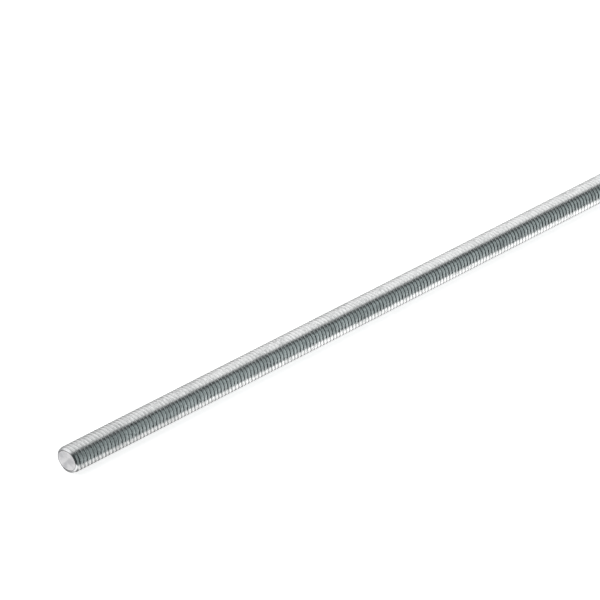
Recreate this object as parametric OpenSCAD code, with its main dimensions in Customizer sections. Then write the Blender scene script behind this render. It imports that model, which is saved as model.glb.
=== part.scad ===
// Fully threaded rod, metric M6 with a coarse pitch, in zinc-plated steel and cut to one metre.
// The rod lies along +X. The centre of its near end face is the origin, and +Z is up.
// The shank is drawn over the crests of its thread, as a drawing shows a thread in simple form.

/* [Rod] */
// Length over the two end faces
rod_length = 1000; // [100:10:1200]

/* [Thread] */
// Nominal diameter of the thread
thread_d = 6; // [5:0.5:12]
// How much less than that the rod measures over its rolled crests
crest_short = 0.1; // [0:0.01:0.2]
// Distance from one crest to the next along the rod
pitch = 1; // [0.5:0.05:1.75]

/* [Ends] */
// Angle between a chamfer and its end face, in degrees
chamfer_angle = 32; // [25:1:60]
// How far a chamfer cuts in past the root of the thread, on the radius
chamfer_past_root = 0.02; // [0:0.01:0.2]

/* [Hidden] */
round_faces = 96;

crest_r = (thread_d - crest_short) / 2;
// The root of a metric thread lies 17/24 of the height of its sharp triangle inside the nominal diameter
root_r = thread_d / 2 - 17 / 24 * pitch * cos(30);
end_face_r = root_r - chamfer_past_root;
chamfer_length = (crest_r - end_face_r) * tan(chamfer_angle);

// Half of the rod's long section: radius first, then distance from the near end face
half_section = [
    [0, 0],
    [end_face_r, 0],
    [crest_r, chamfer_length],
    [crest_r, rod_length - chamfer_length],
    [end_face_r, rod_length],
    [0, rod_length]
];

module threaded_rod() {
    color("silver")
        rotate([0, 90, 0])
            rotate_extrude($fn = round_faces)
                polygon(half_section);
}

threaded_rod();
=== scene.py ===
"""Looks of a zinc-plated threaded rod: its real thread, its finish, and a plain white studio round it.

Lengths are in metres, in the frame of the CAD model. Its origin is the middle of the rod's near end
face. +X runs along the rod, +Y is towards the back of the photograph, and +Z is up.
"""

import math

import bpy
import numpy as np
from mathutils import Matrix, Vector


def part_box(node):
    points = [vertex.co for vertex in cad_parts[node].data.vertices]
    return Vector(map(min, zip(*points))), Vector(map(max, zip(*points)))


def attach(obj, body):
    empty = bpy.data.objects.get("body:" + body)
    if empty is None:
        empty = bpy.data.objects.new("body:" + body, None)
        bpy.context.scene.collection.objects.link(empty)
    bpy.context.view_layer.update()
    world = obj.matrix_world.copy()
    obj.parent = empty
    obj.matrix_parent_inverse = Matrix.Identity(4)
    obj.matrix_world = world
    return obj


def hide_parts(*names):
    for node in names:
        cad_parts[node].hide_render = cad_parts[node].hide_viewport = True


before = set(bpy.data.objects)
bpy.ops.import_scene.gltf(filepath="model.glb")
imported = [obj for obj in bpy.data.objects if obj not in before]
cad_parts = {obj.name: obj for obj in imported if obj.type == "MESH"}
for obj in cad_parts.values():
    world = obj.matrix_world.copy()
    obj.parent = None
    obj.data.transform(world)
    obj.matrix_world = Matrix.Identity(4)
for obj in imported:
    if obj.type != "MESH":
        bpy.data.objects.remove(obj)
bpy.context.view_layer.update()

MM = 0.001
NODE = "threaded_rod"

# Points of the CAD model this close together count as level with each other
CLOSE = 0.01 * MM

# Smallest radius that a value is divided by, for the corners that lie on the axis
TINY = 1e-9

# Metric M6 thread. Its sharp triangle is as high as its pitch times cos(30 degrees).
PITCH = 1.0 * MM
THREAD_D = 6.0 * MM
TRIANGLE = PITCH * math.cos(math.radians(30))
FLANK_TILT = math.radians(60)
FLANK_SLOPE = math.tan(FLANK_TILT)
ROOT_R = THREAD_D / 2 - 17 / 24 * TRIANGLE
PITCH_LINE_R = THREAD_D / 2 - 3 / 8 * TRIANGLE

# Turn of the thread round the axis at the near end, in turns, as the photograph shows it
THREAD_PHASE = 0.30

# The near end was sheared out of square. Its middle lies this far in, and it leans out by these
# shares of y and z, so that the back of its top stands out and the front of its bottom lies back.
# Its chamfer leans CHAMFER_LEAN times as much, so the other way, and is longest where the face
# stands out.
NEAR_SET_BACK = 0.05 * MM
NEAR_LEAN = (0.073, 0.104)
CHAMFER_LEAN = -0.4

# How far from its rim an end face starts to bend into the chamfer, and how far from it a painted shade
# darkens the face
EDGE_ROUND = 0.35 * MM
RIM_SHADE_WIDTH = 0.20 * MM

# Mesh of the thread: steps round one turn, and turns beyond each end that are then trimmed off
STEPS = 24
SPARE_TURNS = 2

# Mesh of the solid that trims it: steps round, and how much wider than the crests it is
TRIM_STEPS = 96
TRIM_SPARE = 0.1 * MM

# The camera, in pixels of the 600 by 600 photograph: the middle of the near end face, the point
# far outside the frame where a longer rod would vanish, and the rod's width at the near end
PHOTO = 600
LENS = 308.0
SENSOR = 36.0
END_PIXEL = (66.56, 460.81)
VANISHING_PIXEL = (5650.9, -2389.6)
ROD_WIDTH_PIXELS = 29.45

# Tones of the studio as the metal mirrors it
WHITE = (1, 1, 1, 1)
BRIGHT = (0.79, 0.80, 0.81, 1)
SOFT_GREY = (0.38, 0.38, 0.38, 1)
DIM = (0.20, 0.20, 0.20, 1)
PANEL = (0.48, 0.55, 0.55, 1)
LOW_PANEL = (0.73, 0.80, 0.80, 1)
SLATE = (0.28, 0.33, 0.33, 1)
SHADE = (0.042, 0.050, 0.051, 1)

# Places across the table, from the rod's axis towards the back, where it changes in reflections:
# it is white from its front edge to its back edge, and dark under the rod with a painted shadow.
# Its front edge is at TABLE_FRONT at the rod's near end, and draws away from the rod by TABLE_SKEW along
# it.
TABLE_FRONT = -3.3 * MM
TABLE_SKEW = 0.004
TABLE_BACK = 9 * MM
UNDER_ROD = 2.13 * MM


def rod_sizes():
    """Length, crest radius, end face radius and chamfer length of the CAD rod."""
    low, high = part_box(NODE)
    length = high.x - low.x
    crest_r = (high.z - low.z) / 2
    points = np.array([v.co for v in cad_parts[NODE].data.vertices])
    radii = np.hypot(points[:, 1], points[:, 2])
    face_r = radii[points[:, 0] < low.x + CLOSE].max()
    chamfer = points[radii > crest_r - CLOSE, 0].min() - low.x
    return length, crest_r, float(face_r), float(chamfer)


LENGTH, CREST_R, FACE_R, CHAMFER = rod_sizes()

# Length of a chamfer along the rod for each step inwards
CHAMFER_SLOPE = CHAMFER / (CREST_R - FACE_R)

# Share of a pitch that the flat crest and the root take up along the rod
CREST_SHARE = 0.5 - 2 * (CREST_R - PITCH_LINE_R) / FLANK_SLOPE / PITCH
ROOT_SHARE = 0.5 - 2 * (PITCH_LINE_R - ROOT_R) / FLANK_SLOPE / PITCH

# One pitch of the profile: place along the rod in pitches from the middle of the crest, and radius
PROFILE = [
    (-CREST_SHARE / 2, CREST_R),
    (CREST_SHARE / 2, CREST_R),
    (0.5 - ROOT_SHARE / 2, ROOT_R),
    (0.5 + ROOT_SHARE / 2, ROOT_R),
]

# Rolling leaves a crest round from side to side. This is its radius in pitches.
CREST_ROUND = CREST_SHARE / 2 / math.tan(FLANK_TILT / 2)


def new_object(name, points, faces):
    mesh = bpy.data.meshes.new(name)
    mesh.from_pydata(points, [], faces)
    mesh.update()
    thing = bpy.data.objects.new(name, mesh)
    bpy.context.scene.collection.objects.link(thing)
    return thing


def thread_solid():
    """A right-hand screw that is closed, and longer than the rod at both ends."""
    turns = round(LENGTH / PITCH) + 2 * SPARE_TURNS
    per_turn = len(PROFILE)
    rows = turns * per_turn + 1
    share = np.array([p[0] for p in PROFILE])
    radius = np.array([p[1] for p in PROFILE])
    row = np.arange(rows + per_turn)
    along = row // per_turn + share[row % per_turn] - SPARE_TURNS
    points = []
    for step in range(STEPS):
        angle = 2 * math.pi * step / STEPS
        used = rows if step else rows + per_turn
        x = PITCH * (along[:used] + step / STEPS - THREAD_PHASE)
        r = radius[row[:used] % per_turn]
        points.append(np.column_stack([x, r * math.cos(angle), r * math.sin(angle)]))
    starts = np.cumsum([0] + [len(p) for p in points])
    points = np.concatenate(points)

    faces = []
    for step in range(STEPS):
        here = starts[step]
        # After the last step the thread comes back to the first one, a turn further on
        there = starts[step + 1] if step + 1 < STEPS else starts[0] + per_turn
        a = here + np.arange(rows - 1)
        b = there + np.arange(rows - 1)
        faces.append(np.column_stack([a, b, b + 1, a + 1]))
    faces = np.concatenate(faces).tolist()

    near = len(points)
    far = near + 1
    near_x = points[:, 0].min()
    far_x = points[:, 0].max()
    points = np.vstack([points, [near_x, 0, 0], [far_x, 0, 0]])
    near_rim = [starts[k] for k in range(STEPS)]
    near_rim += [starts[0] + k for k in range(per_turn, 0, -1)]
    far_rim = [k + rows - 1 for k in near_rim]
    for rim, middle, outward in ((near_rim, near, False), (far_rim, far, True)):
        for k in range(len(rim)):
            one = int(rim[k])
            two = int(rim[(k + 1) % len(rim)])
            faces.append([middle, one, two] if outward else [middle, two, one])
    return new_object("thread_solid", points.tolist(), faces)


def near_reach(radius):
    """What the near end's lean is multiplied by at a radius from the edge of its face outwards."""
    return FACE_R + CHAMFER_LEAN * (radius - FACE_R)


def trimming_solid():
    """The rod's length with its chamfers, a little wider than the crests so that it leaves them whole."""
    wide = CREST_R + TRIM_SPARE
    cone = CHAMFER * (wide - FACE_R) / (CREST_R - FACE_R)
    rings = [(0, FACE_R), (cone, wide), (LENGTH - cone, wide), (LENGTH, FACE_R)]
    points = []
    for x, r in rings:
        for k in range(TRIM_STEPS):
            angle = 2 * math.pi * k / TRIM_STEPS
            y = math.cos(angle)
            z = math.sin(angle)
            lean = NEAR_LEAN[0] * y + NEAR_LEAN[1] * z
            shift = NEAR_SET_BACK - lean * near_reach(r) if x < LENGTH / 2 else 0
            points.append((x + shift, r * y, r * z))
    faces = []
    for ring in range(len(rings) - 1):
        for k in range(TRIM_STEPS):
            a = ring * TRIM_STEPS + k
            b = ring * TRIM_STEPS + (k + 1) % TRIM_STEPS
            faces.append([a, b, b + TRIM_STEPS, a + TRIM_STEPS])
    faces.append(list(range(TRIM_STEPS))[::-1])
    faces.append([(len(rings) - 1) * TRIM_STEPS + k for k in range(TRIM_STEPS)])
    return new_object("trimming_solid", points, faces)


def trimmed(thread, trim):
    """The part of the thread inside the trimming solid, as a mesh. Cut faces keep material index 1."""
    cut = thread.modifiers.new("trim", "BOOLEAN")
    cut.object = trim
    cut.operation = "INTERSECT"
    cut.solver = "MANIFOLD"
    cut.material_mode = "INDEX"
    graph = bpy.context.evaluated_depsgraph_get()
    mesh = bpy.data.meshes.new_from_object(thread.evaluated_get(graph))
    for thing in (thread, trim):
        old = thing.data
        bpy.data.objects.remove(thing)
        bpy.data.meshes.remove(old)
    return mesh


def make_rod():
    """The rod's one piece, from the thread and the solid that trims it."""
    thread = thread_solid()
    trim = trimming_solid()
    for thing in (thread, trim):
        thing.data.materials.append(bpy.data.materials["rolled_zinc"])
        thing.data.materials.append(bpy.data.materials["cut_zinc"])
    trim.data.polygons.foreach_set("material_index", np.ones(len(trim.data.polygons), np.int32))
    mesh = trimmed(thread, trim)
    mesh.name = "rod"
    rod = bpy.data.objects.new("rod", mesh)
    bpy.context.scene.collection.objects.link(rod)
    set_normals(mesh)
    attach(rod, "root")
    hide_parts(NODE)


def read_vectors(items, name):
    """One row of three numbers for each vertex or face of a mesh."""
    values = np.empty(len(items) * 3)
    items.foreach_get(name, values)
    return values.reshape(-1, 3)


def read_numbers(items, name):
    """One whole number for each face or corner of a mesh."""
    values = np.empty(len(items), np.int32)
    items.foreach_get(name, values)
    return values


def pitch_share(points):
    """Where points lie in the pitch, from -0.5 to 0.5 with the middle of the crest at 0."""
    turn = np.arctan2(points[:, 2], points[:, 1]) / (2 * math.pi)
    share = points[:, 0] / PITCH + THREAD_PHASE - turn
    return share - np.round(share)


def set_normals(mesh):
    """Gives each corner the normal of the true surface, so that the steps round a turn don't show."""
    points = read_vectors(mesh.vertices, "co")
    middle = read_vectors(mesh.polygons, "center")
    flat = read_vectors(mesh.polygons, "normal")
    corners = read_numbers(mesh.loops, "vertex_index")
    sides = read_numbers(mesh.polygons, "loop_total")
    cut = read_numbers(mesh.polygons, "material_index")

    # Where a face's middle lies in the pitch tells which surface the face is on
    face_share = pitch_share(middle)
    on_crest = np.abs(face_share) < CREST_SHARE / 2
    on_root = np.abs(face_share) > 0.5 - ROOT_SHARE / 2
    face_slope = np.where(face_share < 0, FLANK_SLOPE, -FLANK_SLOPE)
    face_slope[on_crest] = 0
    in_face = np.repeat(np.arange(len(middle)), sides)

    corner = points[corners]
    radius = np.maximum(np.hypot(corner[:, 1], corner[:, 2]), TINY)
    outward = np.zeros_like(corner)
    outward[:, 1:] = corner[:, 1:] / radius[:, None]
    around = np.column_stack([np.zeros(len(corner)), -outward[:, 2], outward[:, 1]])
    slope = face_slope[in_face]
    # The root is a rounded valley: its slope runs from one flank's to the other's
    share = pitch_share(corner)
    from_root = share - 0.5 * np.sign(face_share[in_face])
    from_root = from_root - np.round(from_root)
    valley = on_root[in_face]
    slope[valley] = FLANK_SLOPE * np.clip(from_root / (ROOT_SHARE / 2), -1, 1)[valley]
    lead = slope * PITCH / (2 * math.pi * radius)
    normal = outward + lead[:, None] * around
    normal[:, 0] -= slope

    # Chamfers are cones, of which the near one leans. The end faces are flat, and nearly square to x.
    nearly_square = 0.98
    chamfered = (cut[in_face] == 1) & (np.abs(flat[in_face, 0]) < nearly_square)
    near = corner[:, 0] < LENGTH / 2
    lean = np.array([0, *NEAR_LEAN])
    near_slope = CHAMFER_SLOPE - CHAMFER_LEAN * outward @ lean
    near_turn = around @ lean * near_reach(radius) / radius
    near_normal = near_slope[:, None] * outward - near_turn[:, None] * around - [1, 0, 0]
    far_normal = CHAMFER_SLOPE * outward + [1, 0, 0]
    cone_normal = np.where(near[:, None], near_normal, far_normal)
    normal[chamfered] = cone_normal[chamfered]
    ends = (cut[in_face] == 1) & ~chamfered
    normal[ends] = flat[in_face][ends]
    normal /= np.linalg.norm(normal, axis=1)[:, None]
    mesh.shade_smooth()
    mesh.normals_split_custom_set(normal)


class Nodes:
    """Adds shader nodes to one material or world, which it first empties."""

    def __init__(self, owner):
        owner.use_nodes = True
        self.tree = owner.node_tree
        self.tree.nodes.clear()

    def add(self, kind, inputs, **settings):
        """A node with its settings. An input is a value, or an output of another node."""
        node = self.tree.nodes.new(kind)
        for name, value in settings.items():
            setattr(node, name, value)
        for name, value in inputs.items():
            self.fill(node.inputs[name], value)
        return node

    def fill(self, socket, value):
        """Links a socket to an output of another node, or sets its value."""
        if isinstance(value, bpy.types.NodeSocket):
            self.tree.links.new(value, socket)
        else:
            socket.default_value = value

    def math(self, operation, *values):
        return self.add("ShaderNodeMath", dict(enumerate(values)), operation=operation).outputs[0]

    def vector(self, operation, *values):
        return self.add("ShaderNodeVectorMath", dict(enumerate(values)), operation=operation).outputs[0]

    def split(self, vector):
        """The x, y and z of a vector."""
        return self.add("ShaderNodeSeparateXYZ", {0: vector}).outputs

    def join(self, x, y, z):
        """The vector with this x, y and z."""
        return self.add("ShaderNodeCombineXYZ", {0: x, 1: y, 2: z}).outputs[0]

    def direction(self, x, y, z):
        """A unit vector from its parts along the object's own axes, as the world has it."""
        spaces = {"vector_type": "NORMAL", "convert_from": "OBJECT", "convert_to": "WORLD"}
        turned = self.add("ShaderNodeVectorTransform", {0: self.join(x, y, z)}, **spaces)
        return self.vector("NORMALIZE", turned.outputs[0])

    def from_axis(self, y, z):
        """Distance from the rod's axis."""
        return self.math("SQRT", self.math("MULTIPLY_ADD", y, y, self.math("MULTIPLY", z, z)))

    def noise(self, place, scale, detail):
        """A cloudy pattern of values from 0 to 1."""
        inputs = {"Vector": place, "Scale": scale, "Detail": detail}
        return self.add("ShaderNodeTexNoise", inputs).outputs[0]

    def ramp(self, value, low, high, bottom=0.0, top=1.0):
        """Goes smoothly from bottom to top while the value goes from low to high."""
        ends = {"Value": value, "From Min": low, "From Max": high, "To Min": bottom, "To Max": top}
        return self.add("ShaderNodeMapRange", ends, interpolation_type="SMOOTHSTEP").outputs[0]

    def blend(self, share, first, second):
        """The first colour where the share is 0, and the second where it is 1."""
        mix = self.add("ShaderNodeMix", {"Factor": share}, data_type="RGBA")
        for name, value in (("A", first), ("B", second)):
            socket = next(s for s in mix.inputs if s.name == name and s.type == "RGBA")
            self.fill(socket, value)
        return next(s for s in mix.outputs if s.type == "RGBA")

    def pick(self, share, first, second):
        """The first shader where the share is 0, and the second where it is 1."""
        return self.add("ShaderNodeMixShader", {0: share, 1: first, 2: second}).outputs[0]

    def light(self, kind, color, strength=1.0):
        """An emission or a background."""
        return self.add(kind, {"Color": color, "Strength": strength}).outputs[0]

    def metal(self, tone, roughness, relief, depth, normal):
        """Makes the material metal, with a relief this deep over its normal."""
        bump = {"Height": relief, "Distance": depth, "Normal": normal}
        steel = self.add("ShaderNodeBsdfPrincipled", {
            "Metallic": 1.0,
            "Base Color": tone,
            "Roughness": roughness,
            "Normal": self.add("ShaderNodeBump", bump).outputs[0],
        })
        self.add("ShaderNodeOutputMaterial", {"Surface": steel.outputs[0]})


def round_normal(nodes, share, radius, out_y, out_z):
    """Normal of a thread with round crests and roots."""
    steepest = math.sin(FLANK_TILT)
    from_crest = nodes.math("ABSOLUTE", share)
    from_root = nodes.math("SUBTRACT", 0.5, from_crest)
    crest_tilt = nodes.math("DIVIDE", from_crest, CREST_ROUND)
    root_tilt = nodes.math("MULTIPLY", from_root, steepest / (ROOT_SHARE / 2))
    tilt = nodes.math("MINIMUM", nodes.math("MINIMUM", crest_tilt, root_tilt), steepest)
    rise = nodes.math("SQRT", nodes.math("SUBTRACT", 1.0, nodes.math("MULTIPLY", tilt, tilt)))
    normal_x = nodes.math("MULTIPLY", tilt, nodes.math("SIGN", share))
    # The thread climbs, which leans its flanks a little round the rod
    climb = nodes.math("DIVIDE", -PITCH / (2 * math.pi), radius)
    lead = nodes.math("MULTIPLY", normal_x, climb)
    normal_y = nodes.math("MULTIPLY", out_y, rise)
    normal_y = nodes.math("SUBTRACT", normal_y, nodes.math("MULTIPLY", lead, out_z))
    normal_z = nodes.math("MULTIPLY_ADD", out_z, rise, nodes.math("MULTIPLY", lead, out_y))
    return nodes.direction(normal_x, normal_y, normal_z)


def rolled_finish():
    """Bright zinc on the rolled thread: burnished crests, roots darker with duller zinc and painted shade,
    and fine lines round the rod.
    """
    nodes = Nodes(bpy.data.materials.new("rolled_zinc"))
    place = nodes.add("ShaderNodeTexCoord", {}).outputs["Object"]
    x, y, z = nodes.split(place)
    radius = nodes.from_axis(y, z)
    out_y = nodes.math("DIVIDE", y, radius)
    out_z = nodes.math("DIVIDE", z, radius)
    height = nodes.ramp(radius, ROOT_R, CREST_R)

    # Where a point lies in the pitch, from -0.5 to 0.5 with the middle of the crest at 0
    turn = nodes.math("DIVIDE", nodes.math("ARCTAN2", z, y), 2 * math.pi)
    pitches = nodes.math("MULTIPLY_ADD", x, 1 / PITCH, THREAD_PHASE + 0.5)
    share = nodes.math("SUBTRACT", nodes.math("FRACT", nodes.math("SUBTRACT", pitches, turn)), 0.5)

    clouds = nodes.noise(place, scale=240.0, detail=3.0)
    specks = nodes.noise(place, scale=1700.0, detail=3.0)
    grain = nodes.noise(place, scale=5200.0, detail=2.0)

    # The lines change often along the rod and across a turn of the thread, and seldom round the rod
    scale_along = 900.0
    scale_across = 14.0
    scale_round = 2.5
    line_x = nodes.math("MULTIPLY_ADD", x, scale_along, nodes.math("MULTIPLY", share, scale_across))
    line_y = nodes.math("MULTIPLY", out_y, scale_round)
    line_z = nodes.math("MULTIPLY", out_z, scale_round)
    lines = nodes.noise(nodes.join(line_x, line_y, line_z), scale=1.0, detail=2.0)

    shaded_root_tone = (0.85, 0.86, 0.86, 1)
    crest_tone = (0.93, 0.935, 0.935, 1)
    dull_tone = (0.78, 0.79, 0.79, 1)
    most_dull = 0.6
    # Real stains and the painted shade towards the ends both use this tone
    stain_and_shade_tone = (0.48, 0.49, 0.49, 1)
    most_stain = 0.8
    # Painted shade: the roots are darker than the crests, partly duller zinc and partly shade in the
    # hollows of the thread
    tone = nodes.blend(nodes.ramp(height, 0.0, 0.5), shaded_root_tone, crest_tone)
    tone = nodes.blend(nodes.ramp(clouds, 0.45, 0.75, 0.0, most_dull), tone, dull_tone)
    stains = nodes.math("MULTIPLY", nodes.ramp(lines, 0.35, 0.7), nodes.ramp(specks, 0.35, 0.65))
    tone = nodes.blend(nodes.math("MULTIPLY", stains, most_stain), tone, stain_and_shade_tone)

    # Painted shade: the zinc is made darker towards each end
    end_shade_length = 50 * MM
    end_shade_share = 0.25
    from_end = nodes.math("MINIMUM", x, nodes.math("SUBTRACT", LENGTH, x))
    tone = nodes.blend(nodes.ramp(from_end, 0.0, end_shade_length, end_shade_share, 0.0), tone, stain_and_shade_tone)

    root_rough = 0.29
    crest_rough = 0.10
    grain_rough = 0.03
    cloud_rough = 0.06
    by_height = nodes.ramp(height, 0.0, 1.0, root_rough, crest_rough)
    rough = nodes.math("ADD", by_height, nodes.ramp(grain, 0.3, 0.7, -grain_rough, grain_rough))
    rough = nodes.math("ADD", rough, nodes.ramp(clouds, 0.45, 0.75, 0.0, cloud_rough))

    line_share = 0.5
    speck_share = 0.5
    grain_share = 0.2
    relief_depth = 0.028 * MM
    relief = nodes.math("MULTIPLY_ADD", lines, line_share, nodes.math("MULTIPLY", grain, grain_share))
    relief = nodes.math("MULTIPLY_ADD", specks, speck_share, relief)
    normal = round_normal(nodes, share, radius, out_y, out_z)
    nodes.metal(tone, rough, relief, relief_depth, normal)


def cut_finish():
    """Duller zinc on the sheared end faces, over fine tool marks, and smoother zinc on the chamfers.

    The face bends into the chamfer, so its edge mirrors more of the room than either of them does.
    """
    nodes = Nodes(bpy.data.materials.new("cut_zinc"))
    place = nodes.add("ShaderNodeTexCoord", {}).outputs["Object"]
    x, y, z = nodes.split(place)
    radius = nodes.from_axis(y, z)
    edge_width = 0.02 * MM
    on_chamfer = nodes.ramp(radius, FACE_R, FACE_R + edge_width)
    near_rim = nodes.ramp(radius, FACE_R - EDGE_ROUND, FACE_R)

    clouds = nodes.noise(place, scale=600.0, detail=3.0)
    # The tool marks run across the face from front to back, so they change seldom along y
    scale_along = 0.08
    mark_place = nodes.join(x, nodes.math("MULTIPLY", y, scale_along), z)
    marks = nodes.noise(mark_place, scale=7000.0, detail=2.0)

    light_face = (0.76, 0.755, 0.765, 1)
    dark_face = (0.56, 0.56, 0.575, 1)
    rim_shade_tone = (0.42, 0.42, 0.43, 1)
    chamfer_tone = (0.84, 0.85, 0.86, 1)
    tone = nodes.blend(nodes.ramp(clouds, 0.35, 0.65), light_face, dark_face)
    # Painted shade darkens the face along its edge
    shaded_rim = nodes.ramp(radius, FACE_R - RIM_SHADE_WIDTH, FACE_R - RIM_SHADE_WIDTH / 2)
    tone = nodes.blend(shaded_rim, tone, rim_shade_tone)
    tone = nodes.blend(on_chamfer, tone, chamfer_tone)

    smoother_at_rim = -0.25
    face_rough = nodes.ramp(marks, 0.3, 0.7, 0.34, 0.46)
    rough = nodes.math("MULTIPLY_ADD", near_rim, smoother_at_rim, face_rough)

    bend = nodes.math("MULTIPLY", near_rim, nodes.math("SUBTRACT", 1.0, on_chamfer))
    bend = nodes.math("MULTIPLY", bend, CHAMFER_SLOPE)
    scaled = {0: nodes.direction(0.0, y, z), "Scale": bend}
    outward = nodes.add("ShaderNodeVectorMath", scaled, operation="SCALE").outputs[0]
    plain = nodes.add("ShaderNodeNewGeometry", {}).outputs["Normal"]
    normal = nodes.vector("NORMALIZE", nodes.vector("ADD", plain, outward))
    relief_depth = 0.01 * MM
    nodes.metal(tone, rough, marks, relief_depth, normal)


def make_camera():
    """A camera that sees the rod where the photograph has it, with the vertical upright."""
    focal = PHOTO * LENS / SENSOR
    pitch = math.atan((PHOTO / 2 - VANISHING_PIXEL[1]) / focal)
    yaw = math.atan((VANISHING_PIXEL[0] - PHOTO / 2) * math.cos(pitch) / focal)
    forward = Vector((math.cos(yaw) * math.cos(pitch), math.sin(yaw) * math.cos(pitch), -math.sin(pitch)))
    right = Vector((math.sin(yaw), -math.cos(yaw), 0))
    up = right.cross(forward)
    depth = focal * 2 * CREST_R / ROD_WIDTH_PIXELS
    right_of_middle = (END_PIXEL[0] - PHOTO / 2) / focal
    above_middle = (PHOTO / 2 - END_PIXEL[1]) / focal
    place = -depth * (forward + right_of_middle * right + above_middle * up)

    data = bpy.data.cameras.new("camera")
    data.lens = LENS
    data.sensor_width = SENSOR
    data.clip_start = 0.05
    data.clip_end = 500
    camera = bpy.data.objects.new("camera", data)
    turn = Matrix((right, up, -forward)).transposed()
    camera.matrix_world = Matrix.Translation(place) @ turn.to_4x4()
    bpy.context.scene.collection.objects.link(camera)
    bpy.context.scene.camera = camera


def make_floor():
    """A white table that keeps the rod's shadow. In reflections it is a strip under and behind the rod,
    with a painted shadow under the rod.
    """
    size = 60.0
    height = -CREST_R
    corners = [(-size, -size, height), (size, -size, height), (size, size, height), (-size, size, height)]
    floor = new_object("floor", corners, [(0, 1, 2, 3)])
    nodes = Nodes(bpy.data.materials.new("floor_white"))
    rays = nodes.add("ShaderNodeLightPath", {}).outputs
    place = nodes.add("ShaderNodeNewGeometry", {}).outputs["Position"]
    x, y = nodes.split(place)[:2]

    # The glow lifts the lit table to plain white, and the rod's shadow to a faint grey
    table_tone = (0.8, 0.8, 0.8, 1)
    table_glow = 0.78
    matt = nodes.add("ShaderNodeBsdfDiffuse", {"Color": table_tone}).outputs[0]
    glow = nodes.light("ShaderNodeEmission", WHITE, table_glow)
    seen = nodes.add("ShaderNodeAddShader", {0: matt, 1: glow}).outputs[0]

    # The strip as the metal mirrors it, which is brighter further along the rod
    soft = 0.3 * MM
    painted_shadow_level = 0.3
    near_level = 1.04
    far_level = 1.27
    far_level_from = 70 * MM
    # Painted shadow: in reflections the strip is dark under the rod, as far as its near end
    beside = nodes.ramp(nodes.math("ABSOLUTE", y), UNDER_ROD - 2 * soft, UNDER_ROD + 2 * soft)
    past_end = nodes.ramp(x, -soft, 2 * soft, 1.0, 0.0)
    open_table = nodes.ramp(nodes.math("MAXIMUM", beside, past_end), 0.0, 1.0, painted_shadow_level, 1.0)
    along_rod = nodes.ramp(x, 0.0, far_level_from, near_level, far_level)
    strip = nodes.light("ShaderNodeEmission", WHITE, nodes.math("MULTIPLY", open_table, along_rod))

    from_front = nodes.math("MULTIPLY_ADD", x, TABLE_SKEW, nodes.math("SUBTRACT", y, TABLE_FRONT))
    in_front = nodes.ramp(from_front, -soft / 2, soft / 2, 1.0, 0.0)
    behind = nodes.ramp(y, TABLE_BACK, 1.5 * TABLE_BACK)
    gap = nodes.add("ShaderNodeBsdfTransparent", {"Color": WHITE}).outputs[0]
    mirrored = nodes.pick(nodes.math("MAXIMUM", in_front, behind), strip, gap)

    clear = nodes.math("MAXIMUM", rays["Is Camera Ray"], rays["Is Transmission Ray"])
    surface = nodes.pick(rays["Is Glossy Ray"], nodes.pick(clear, matt, seen), mirrored)
    nodes.add("ShaderNodeOutputMaterial", {"Surface": surface})
    floor.data.materials.append(bpy.data.materials["floor_white"])


def make_studio():
    """Bright above the rod and behind it, grey at the horizon there, and dark in front but for a dim panel.

    The camera sees plain white. Ramps over x, y and z are over the parts of a unit direction.
    """
    nodes = Nodes(bpy.data.worlds.new("studio"))
    bpy.context.scene.world = bpy.data.worlds["studio"]
    look = nodes.add("ShaderNodeTexCoord", {}).outputs["Generated"]
    x, y, z = nodes.split(look)

    below_ceiling = nodes.ramp(z, 0.58, 0.74, 1.0, 0.0)
    on_right = nodes.math("MULTIPLY", nodes.ramp(x, -0.30, 0.10), below_ceiling)
    far_right = nodes.math("MULTIPLY", nodes.ramp(x, 0.40, 0.60), below_ceiling)
    panel = nodes.blend(nodes.ramp(z, -0.5, 0.3), LOW_PANEL, PANEL)
    front = nodes.blend(far_right, nodes.blend(on_right, SHADE, panel), SLATE)

    ceiling = nodes.blend(nodes.ramp(x, 0.38, 0.62), WHITE, BRIGHT)
    low_down = nodes.ramp(z, 0.05, 0.45, 1.0, 0.0)
    horizon = nodes.math("MULTIPLY", low_down, nodes.ramp(x, 0.70, 0.85, 1.0, 0.0))
    grey = nodes.blend(nodes.ramp(x, 0.54, 0.68), SOFT_GREY, DIM)
    back = nodes.blend(horizon, ceiling, grey)

    # Front and back meet in a plane along the rod, which leans to the front as it rises
    edge_tilt = math.radians(16)
    tilted_z = nodes.math("MULTIPLY", z, math.sin(edge_tilt))
    past_edge = nodes.math("MULTIPLY_ADD", y, math.cos(edge_tilt), tilted_z)
    room = nodes.blend(nodes.ramp(past_edge, -0.15, 0.21), front, back)
    studio = nodes.light("ShaderNodeBackground", room)
    white = nodes.light("ShaderNodeBackground", WHITE)
    camera_ray = nodes.add("ShaderNodeLightPath", {}).outputs["Is Camera Ray"]
    nodes.add("ShaderNodeOutputWorld", {"Surface": nodes.pick(camera_ray, studio, white)})


make_camera()
make_studio()
make_floor()
rolled_finish()
cut_finish()
make_rod()

bpy.context.scene.view_settings.view_transform = "Standard"
